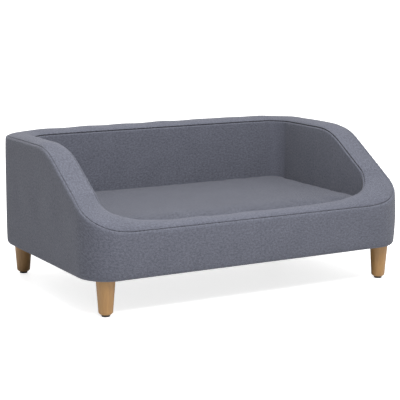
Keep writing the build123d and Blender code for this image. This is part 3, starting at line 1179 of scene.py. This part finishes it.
class PETSOFA_OT_foam(Operator):
    """Foam inside the covers, in four blocks that are cut out round the boards"""

    bl_idname = "pet_sofa.foam"
    bl_label = "Foam"

    def execute(self, context):
        material = speckled("foam", (0.84, 0.79, 0.60), (0.66, 0.58, 0.38), 700.0, (0.5, 0.6 * MM))
        wall = walls(2 * settings().shell.step)
        under, low = 3.4 * MM, UNDERSIDE + 1.6 * MM
        # Every second column of each cover, clear of the folds at its seams
        clear = 2 * TUCK
        panel = [part[:, clear::2] for part in moved(panel_profile(wall), under)]
        band = [part[:, clear - 1 : 2 - clear : 2] for part in moved(band_profile(wall), -under)]
        lining = [part[:, clear::2] for part in moved(lining_profile(wall), -under)]
        inset = np.concatenate([panel[0][:, ::-1], band[0], lining[0]], 1)
        height = np.concatenate([panel[1][:, ::-1], band[1], lining[1]], 1)
        # The hem's columns give way to the base panel's edge
        hem = 3
        edge, _, base_top = numbers("base_panel")[1]
        lip = np.full_like(inset[:, :1], HALF_WIDTH - edge)
        inset = np.concatenate([lip, np.maximum(inset[:, hem:], under), lip], 1)
        height = np.maximum(height[:, hem:], low)
        first, last = (np.full_like(lip, level) for level in (low, base_top))
        height = np.concatenate([first, height, last], 1)
        points = wall_points((inset, height), wall)
        cutters = [merged_copy(node) for node in (*BOARDS, *BLOCKS)]
        corner = HALF_WIDTH - WALL - settings().shell.inner_radius
        across, deep = points.mean(1)[:, :2].T
        for name, chosen in (
            ("front_foam", (np.abs(across) <= corner) & (deep < 0)),
            ("right_arm_foam", across > corner),
            ("back_foam", (np.abs(across) <= corner) & (deep > 0)),
            ("left_arm_foam", across < -corner),
        ):
            rows = np.flatnonzero(chosen)
            jump = np.flatnonzero(np.diff(rows) > 1)
            if len(jump):
                rows = np.roll(rows, -jump[0] - 1)
            block = points[rows]
            mesh = grid_mesh(name, block, wall["run"][rows], arc_length(block), False, caps=True)
            mesh.flip_normals()
            piece = new_piece(f"{name}_block", mesh, material, "root")
            carve(piece, cutters)
            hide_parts(name)
        for cutter in cutters:
            bpy.data.objects.remove(cutter)
        return {"FINISHED"}


class PETSOFA_OT_cushion(Operator):
    """Loose cushion: filling, and a cover in two halves that meet at the zip"""

    bl_idname = "pet_sofa.cushion"
    bl_label = "Cushion"

    def execute(self, context):
        skin_low, skin_high = numbers("cushion_top_cover")
        self.centre = np.array([0.0, (skin_low[1] + skin_high[1]) / 2])
        self.half = (skin_high[:2] - skin_low[:2]) / 2
        self.split = float(skin_low[2])
        self.base = float(numbers("cushion_base_cover")[0][2])
        self.top = float(skin_high[2])
        grid, run, columns = self.form(0.0, 0.0, 5 * MM)
        grid = self.settled(grid, self.swollen())
        grid = self.fitted(grid, columns["split"])
        across = arc_length(grid)
        # Painted shade: the cushion's cover is the upholstery cloth at 0.78 of its brightness, for the
        # shade that falls on the cushion
        fabric = melange("cushion_painted_shade_fabric", 0.78)
        cut = columns["split"]
        for name, first, part, node in (
            ("cushion_top_shell", 0, grid[:, : cut + 1], "cushion_top_cover"),
            ("cushion_base_shell", cut, grid[:, cut:], "cushion_base_cover"),
        ):
            wide = part.shape[1] - 1
            mesh = grid_mesh(name, part, run, across[:, first : first + wide + 1], True)
            close_pole(mesh, part, wide if first else 0)
            self.lay_flat_uv(mesh, columns, first, wide)
            piece = new_piece(name, mesh, fabric, "cushion")
            thicken(piece, CLOTH)
            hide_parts(node)
        fill = self.shrunk(grid, 2.2 * MM)[::2, ::2]
        mesh = grid_mesh("cushion_filling", fill, run[::2], arc_length(fill), True)
        close_pole(mesh, fill, 0)
        close_pole(mesh, fill, fill.shape[1] - 1)
        filling = speckled("fibre_filling", (0.86, 0.86, 0.84), (0.7, 0.7, 0.68), 260.0, (0.6, 1 * MM))
        piece = new_piece("cushion_filling", mesh, filling, "cushion")
        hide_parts("cushion_fill")
        return {"FINISHED"}

    def form(self, grow, flatten, step):
        """Rounded block as a grid: rows go round it, and columns run from the top's middle to the
        base's.

        Rows follow a rounded rectangle. Columns are a top that shrinks to the middle, a quarter
        circle, a straight border, a smaller quarter circle and a base."""
        half = self.half + grow
        low, high = self.base + flatten, self.top - flatten
        radius = settings().shell.inner_radius - 4 * MM + grow
        outline, way, run = rounded_ring(half, radius, step)
        edge_top, edge_base = 18 * MM, 16 * MM
        top_t = np.linspace(0.03, 1, 46, endpoint=False)
        turn = np.linspace(0, QUARTER, 10)
        side_high, side_low = high - edge_top, low + edge_base
        above = np.linspace(side_high, self.split, 7)[1:]
        below = np.linspace(self.split, side_low, 6)[1:-1]
        base_t = np.linspace(1, 0.05, 24)[1:]
        inward = np.concatenate(
            [edge_top * (1 - np.sin(turn)), 0 * above, 0 * below, edge_base * (1 - np.cos(turn))]
        )
        z = np.concatenate(
            [high - edge_top * (1 - np.cos(turn)), above, below, side_low - edge_base * np.sin(turn)]
        )
        body = outline[:, None, :] - way[:, None, :] * inward[None, :, None]
        top = body[:, :1] * top_t[None, :, None]
        bottom = body[:, -1:] * base_t[None, :, None]
        flat = np.concatenate([top, body, bottom], 1) + self.centre
        crown = settings().cushion.crown * (1 - top_t**2.5)
        height = np.concatenate([high + crown, z, np.full(len(base_t), low)])
        tall = np.broadcast_to(height[None, :, None], flat.shape[:2] + (1,))
        columns = {
            "top": len(top_t),
            "split": len(top_t) + len(turn) + len(above) - 1,
            "base": len(top_t) + len(z) - len(turn),
        }
        return np.concatenate([flat, tall], 2), run, columns

    def swollen(self):
        """Cloth simulation of the filled cover: a form a little smaller, blown up by pressure, each
        point moving no further than the cap."""
        cushion = settings().cushion
        points, run, _ = self.form(cushion.grow, cushion.flatten, 12 * MM)
        mesh = grid_mesh("swelling", points, run, arc_length(points), True)
        close_pole(mesh, points, 0)
        close_pole(mesh, points, points.shape[1] - 1)
        form = bpy.data.objects.new("swelling", mesh)
        bpy.context.scene.collection.objects.link(form)
        remesh = form.modifiers.new("remesh", "REMESH")
        remesh.mode = "VOXEL"
        remesh.voxel_size = cushion.voxel
        form.data = evaluated_mesh(form)
        form.modifiers.clear()
        before = vertex_places(form.data)
        cloth = form.modifiers.new("cloth", "CLOTH")
        cloth.settings.quality = 5
        cloth.settings.mass = 0.3
        cloth.settings.tension_stiffness = 15
        cloth.settings.compression_stiffness = 15
        cloth.settings.bending_stiffness = 4
        cloth.settings.use_pressure = True
        cloth.settings.uniform_pressure_force = cushion.pressure
        cloth.settings.effector_weights.gravity = 0
        cloth.collision_settings.use_collision = False
        for moment in range(1, cushion.frames + 1):
            bpy.context.scene.frame_set(moment)
        after = vertex_places(evaluated_mesh(form))
        bpy.context.scene.frame_set(1)
        move = after - before
        size = np.linalg.norm(move, axis=1, keepdims=True) + TINY
        places = before + move * np.minimum(1, cushion.cap / size)
        form.modifiers.clear()
        form.data.vertices.foreach_set("co", places.ravel())
        form.data.update()
        return form

    def settled(self, grid, swollen):
        """The cover's grid laid on the swollen form, each point at the nearest place on it."""
        mesh = grid_mesh("laid", grid, np.zeros(len(grid) + 1), np.zeros(grid.shape[:2]), True)
        laid = bpy.data.objects.new("laid", mesh)
        bpy.context.scene.collection.objects.link(laid)
        wrap = laid.modifiers.new("wrap", "SHRINKWRAP")
        wrap.target = swollen
        wrap.wrap_method = "NEAREST_SURFACEPOINT"
        places = vertex_places(evaluated_mesh(laid)).reshape(grid.shape)
        bpy.data.objects.remove(laid)
        bpy.data.objects.remove(swollen)
        return places

    def fitted(self, grid, split):
        """The grid pressed into the space between the walls.

        Walls and deck hold it back softly, its back swells out to the lining over a quarter sine
        above the zip, the border stays flat behind the zip, and the cover's two halves part at a
        level line."""
        grid = grid.copy()
        tape_low, tape_high = numbers("zip_tape")
        room = self.half + np.array([2.6, 0.0]) * MM
        local = grid[:, :, :2] - self.centre
        local = np.sign(local) * soft_limit(np.abs(local), room, 2 * MM)
        grid[:, :, :2] = local + self.centre
        above_zip = grid[:, :, 2] - tape_high[2] - 8 * MM
        away = np.clip(above_zip / (30 * MM), 0, 1) * (grid[:, :, 1] > 0)
        reach_back = DECK_HIGH[1] - 2.5 * MM - (self.centre[1] + self.half[1])
        at_back = np.clip((local[:, :, 1] - self.half[1] + 40 * MM) / (40 * MM), 0, 1)
        grid[:, :, 1] += reach_back * np.sin(QUARTER * away) * at_back**2
        grid[:, :, 2] = np.maximum(grid[:, :, 2], self.base)
        around, clearance = 6 * MM, 0.1 * MM
        face = (grid[:, :, 1] > tape_low[1] - around) & (grid[:, :, 2] < tape_high[2] + around)
        pressed = np.minimum(grid[:, :, 1], tape_low[1] - clearance)
        grid[:, :, 1] = np.where(face, pressed, grid[:, :, 1])
        grid[:, split, 2] = self.split
        return grid

    def shrunk(self, grid, by):
        """The grid moved in by a distance, towards the nearest point of a smaller block."""
        core = np.concatenate([self.centre, [(self.base + self.top) / 2]])
        half = np.array([*self.half, (self.top - self.base) / 2]) - 40 * MM
        inside = core + np.clip(grid - core, -half, half)
        way = grid - inside
        return grid - by * way / (np.linalg.norm(way, axis=2, keepdims=True) + TINY)

    def lay_flat_uv(self, mesh, columns, first, wide):
        """Gives the top and the base a flat UV map, so that the weave runs straight across them."""
        loops = np.zeros(len(mesh.loops), np.int64)
        mesh.loops.foreach_get("vertex_index", loops)
        places = vertex_places(mesh)
        uv = np.zeros(len(mesh.loops) * 2)
        layer = mesh.uv_layers.active.data
        layer.foreach_get("uv", uv)
        uv = uv.reshape(-1, 2)
        quads = (len(mesh.polygons) - 1) * 4
        column = np.repeat(np.arange(quads // 4) % wide, 4) + first
        over = 5  # Columns of the rounded edges that the flat maps take in
        flat = (column < columns["top"] + over) | (column > columns["base"] + over)
        uv[:quads][flat] = places[loops[:quads][flat], :2]
        layer.foreach_set("uv", uv.ravel())


class PETSOFA_OT_cloths(Operator):
    """Black bonded cloth on the deck, and under the base between its staples"""

    bl_idname = "pet_sofa.cloths"
    bl_label = "Deck cloth and dust cover"

    def execute(self, context):
        black = speckled(
            "black_nonwoven", (0.034, 0.034, 0.037), (0.016, 0.016, 0.018), 620.0, (0.6, 0.3 * MM),
            **{"Specular IOR Level": 0.25},
        )
        inner_radius = settings().shell.inner_radius
        for name, node, radius, held, sag in (
            ("deck_sheet", "deck_cloth", inner_radius, "laid", 0.0),
            ("dust_sheet", "dust_cover", DUST_RADIUS, "stretched", 1.6 * MM),
        ):
            low, high = numbers(node)
            cloth = self.sheet(name, low, high, radius, black, sag)
            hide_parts(node)
        return {"FINISHED"}

    def sheet(self, name, low, high, radius, material, sag):
        """A flat rounded sheet: rings from its outline to its middle, which may sag away from its
        edge.

        The sag is a level that grows as one minus a bell of the distance from the edge and from
        each leg, with a slow wave in it."""
        half = (high[:2] - low[:2]) / 2
        outline, _, run = rounded_ring(half, radius, 7 * MM)
        share = np.linspace(1, 0.04, 44)
        flat = outline[:, None, :] * share[None, :, None]
        height = np.full(flat.shape[:2] + (1,), high[2])
        if sag:
            stapled, slack, leg_clear = 12 * MM, 60 * MM, 48 * MM
            edge = np.min(half - np.abs(flat), axis=2, keepdims=True)
            free = 1 - np.exp(-((np.clip(edge - stapled, 0, None) / slack) ** 2))
            for leg in LEGS:
                middle = sum(numbers(f"leg_{leg}"))[:2] / 2
                from_leg = np.linalg.norm(flat - middle, axis=2, keepdims=True)
                free *= 1 - np.exp(-((from_leg / leg_clear) ** 4))
            wave = np.sin(flat[:, :, :1] * 31) * np.sin(flat[:, :, 1:] * 47)
            height = height - sag * free * (0.8 + 0.2 * wave)
        points = np.concatenate([flat, height], 2)
        mesh = grid_mesh(name, points, run, arc_length(points), True)
        close_pole(mesh, points, points.shape[1] - 1)
        mesh.flip_normals()
        fix_up(mesh)
        piece = new_piece(name, mesh, material, "root")
        thicken(piece, float(high[2] - low[2]))
        return piece


class PETSOFA_OT_zip(Operator):
    """Zip on the cushion's rear border: woven tape, coil, slider and pull"""

    bl_idname = "pet_sofa.zip"
    bl_label = "Zip"

    def execute(self, context):
        light, dark = (0.07, 0.075, 0.09), (0.035, 0.037, 0.045)
        values = {"Pitch": 0.7 * MM, "Light": rgba(light), "Dark": rgba(dark)}
        gloss = {"Specular IOR Level": 0.25}
        self.tape(finish_material("zip_cloth", weave_group, "UV", values, (0.5, 0.2 * MM), **gloss))
        light, dark = (0.085, 0.09, 0.105), (0.055, 0.06, 0.07)
        self.coil(speckled("zip_plastic", light, dark, 900.0, (0.05, 0.05 * MM)))
        light, dark = (0.06, 0.06, 0.066), (0.04, 0.04, 0.045)
        lacquer = {"Coat Weight": 0.4, "Coat Roughness": 0.25}
        metal = speckled("zip_metal", light, dark, 500.0, (0.08, 0.05 * MM), **lacquer)
        dress(["zip_slider", "zip_pull"], metal)
        return {"FINISHED"}

    def tape(self, material):
        """Woven tape: a flat band along the zip with a raised edge cord at its top and bottom."""
        low, high = numbers("zip_tape")
        x = np.linspace(low[0], high[0], 141)
        turn = np.linspace(0, 2 * math.pi, 48, endpoint=False)
        half_z, half_y = (high[2] - low[2]) / 2, (high[1] - low[1]) / 2
        z = np.sign(np.sin(turn)) * np.abs(np.sin(turn)) ** 0.35 * half_z
        y = np.sign(np.cos(turn)) * np.abs(np.cos(turn)) ** 0.5 * half_y
        from_cord = (np.abs(z) - half_z + 1.5 * MM) / MM
        y = y * (0.7 + 0.3 * np.exp(-(from_cord**2)))
        grid = np.zeros((len(x), len(turn), 3))
        grid[:, :, 0] = x[:, None]
        grid[:, :, 1] = (low[1] + high[1]) / 2 + y
        grid[:, :, 2] = (low[2] + high[2]) / 2 + z
        mesh = grid_mesh("zip_tape_band", grid, x, np.tile(z, (len(x), 1)), False, caps=True)
        fix_up(mesh, closed=True)
        piece = new_piece("zip_tape_band", mesh, material, "cushion")
        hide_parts("zip_tape")

    def coil(self, material):
        """Coil of the zip: two flattened helices of thin cord side by side, each a tube along its
        path."""
        low, high = numbers("zip_coil")
        wire, pitch, sides = 0.32 * MM, 1.6 * MM, 5
        apart = 0.36  # Each helix's middle from the coil's, as a share of the coil's half height
        middle = (low + high) / 2
        half = (high - low) / 2 - wire
        turns = round(float(high[0] - low[0]) / pitch)
        t = np.linspace(0, turns, turns * 12 + 1)
        ring = np.linspace(0, 2 * math.pi, sides, endpoint=False)
        for name, side, start in (("zip_coil_lower", -1, 0.0), ("zip_coil_upper", 1, math.pi)):
            angle = 2 * math.pi * t + start
            path = np.stack(
                [
                    low[0] + wire + (high[0] - low[0] - 2 * wire) * t / turns,
                    middle[1] + half[1] * np.sin(angle),
                    middle[2] + half[2] * (side * apart + (1 - apart) * np.cos(angle)),
                ],
                1,
            )
            along = np.gradient(path, axis=0)
            along /= np.linalg.norm(along, axis=1, keepdims=True)
            first = np.cross(along, (1.0, 0, 0))
            first /= np.linalg.norm(first, axis=1, keepdims=True) + TINY
            second = np.cross(along, first)
            out = first[:, None] * np.cos(ring)[:, None] + second[:, None] * np.sin(ring)[:, None]
            tube = path[:, None] + wire * out
            run = np.arange(len(tube)) * MM
            mesh = grid_mesh(name, tube, run, np.tile(ring * wire, (len(tube), 1)), False, caps=True)
            fix_up(mesh, closed=True)
            piece = new_piece(name, mesh, material, "cushion")
            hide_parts("zip_coil")


class PETSOFA_OT_legs(Operator):
    """Finish of the turned legs, their bolts and glides"""

    bl_idname = "pet_sofa.legs"
    bl_label = "Legs"

    def execute(self, context):
        oil = {"Coat Weight": 0.15, "Coat Roughness": 0.35}
        timber = wood("leg_wood", (0.315, 0.172, 0.054), (0.22, 0.11, 0.03), 1.0, **oil)
        dress([f"leg_{name}" for name in LEGS], timber)
        dress([f"leg_bolt_{name}" for name in LEGS], zinc_steel())
        light, dark = (0.035, 0.035, 0.035), (0.02, 0.02, 0.02)
        plastic = speckled("glide_plastic", light, dark, 900.0, (0.2, 0.1 * MM))
        dress([f"glide_{name}" for name in LEGS], plastic)
        return {"FINISHED"}


class PETSOFA_OT_frame(Operator):
    """Finish of the plywood, blocks, screws and other fixings inside"""

    bl_idname = "pet_sofa.frame"
    bl_label = "Frame"

    def execute(self, context):
        plywood = wood("plywood", (0.66, 0.5, 0.31), (0.5, 0.35, 0.19), 0.6)
        dress(["base_panel", *BOARDS], plywood)
        softwood = wood("softwood", (0.72, 0.54, 0.33), (0.58, 0.38, 0.19), 0.8)
        dress(BLOCKS, softwood)
        dress(["frame_screws", "leg_t_nuts", "cover_staples"], zinc_steel())
        return {"FINISHED"}


OPERATORS = (
    PETSOFA_OT_stage,
    PETSOFA_OT_outer_cover,
    PETSOFA_OT_top_band,
    PETSOFA_OT_lining,
    PETSOFA_OT_foam,
    PETSOFA_OT_cushion,
    PETSOFA_OT_cloths,
    PETSOFA_OT_zip,
    PETSOFA_OT_legs,
    PETSOFA_OT_frame,
)


class PetSofaSettings(PropertyGroup):
    shell: PointerProperty(name="Shell", description="Shape of the walls", type=ShellSettings)
    fabric: PointerProperty(name="Fabric", description="The upholstery cloth", type=FabricSettings)
    cushion: PointerProperty(name="Cushion", description="The loose cushion", type=CushionSettings)
    stage: PointerProperty(name="Stage", description="Camera and lights", type=StageSettings)


class PETSOFA_PT_panel(Panel):
    """Sidebar panel that lists the operators"""

    bl_idname = "PETSOFA_PT_panel"
    bl_label = "Pet sofa"
    bl_space_type = "VIEW_3D"
    bl_region_type = "UI"
    bl_category = "Pet sofa"

    def draw(self, context):
        for operator in OPERATORS:
            self.layout.operator(operator.bl_idname)


CLASSES = (
    ShellSettings,
    FabricSettings,
    CushionSettings,
    StageSettings,
    PetSofaSettings,
    *OPERATORS,
    PETSOFA_PT_panel,
)


def register():
    for kind in CLASSES:
        bpy.utils.register_class(kind)
    bpy.types.Scene.pet_sofa = PointerProperty(type=PetSofaSettings)


def unregister():
    del bpy.types.Scene.pet_sofa
    for kind in reversed(CLASSES):
        bpy.utils.unregister_class(kind)


def main():
    """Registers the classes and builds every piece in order."""
    register()
    for operator in OPERATORS:
        group, name = operator.bl_idname.split(".")
        getattr(getattr(bpy.ops, group), name)()


if __name__ == "__main__":
    main()
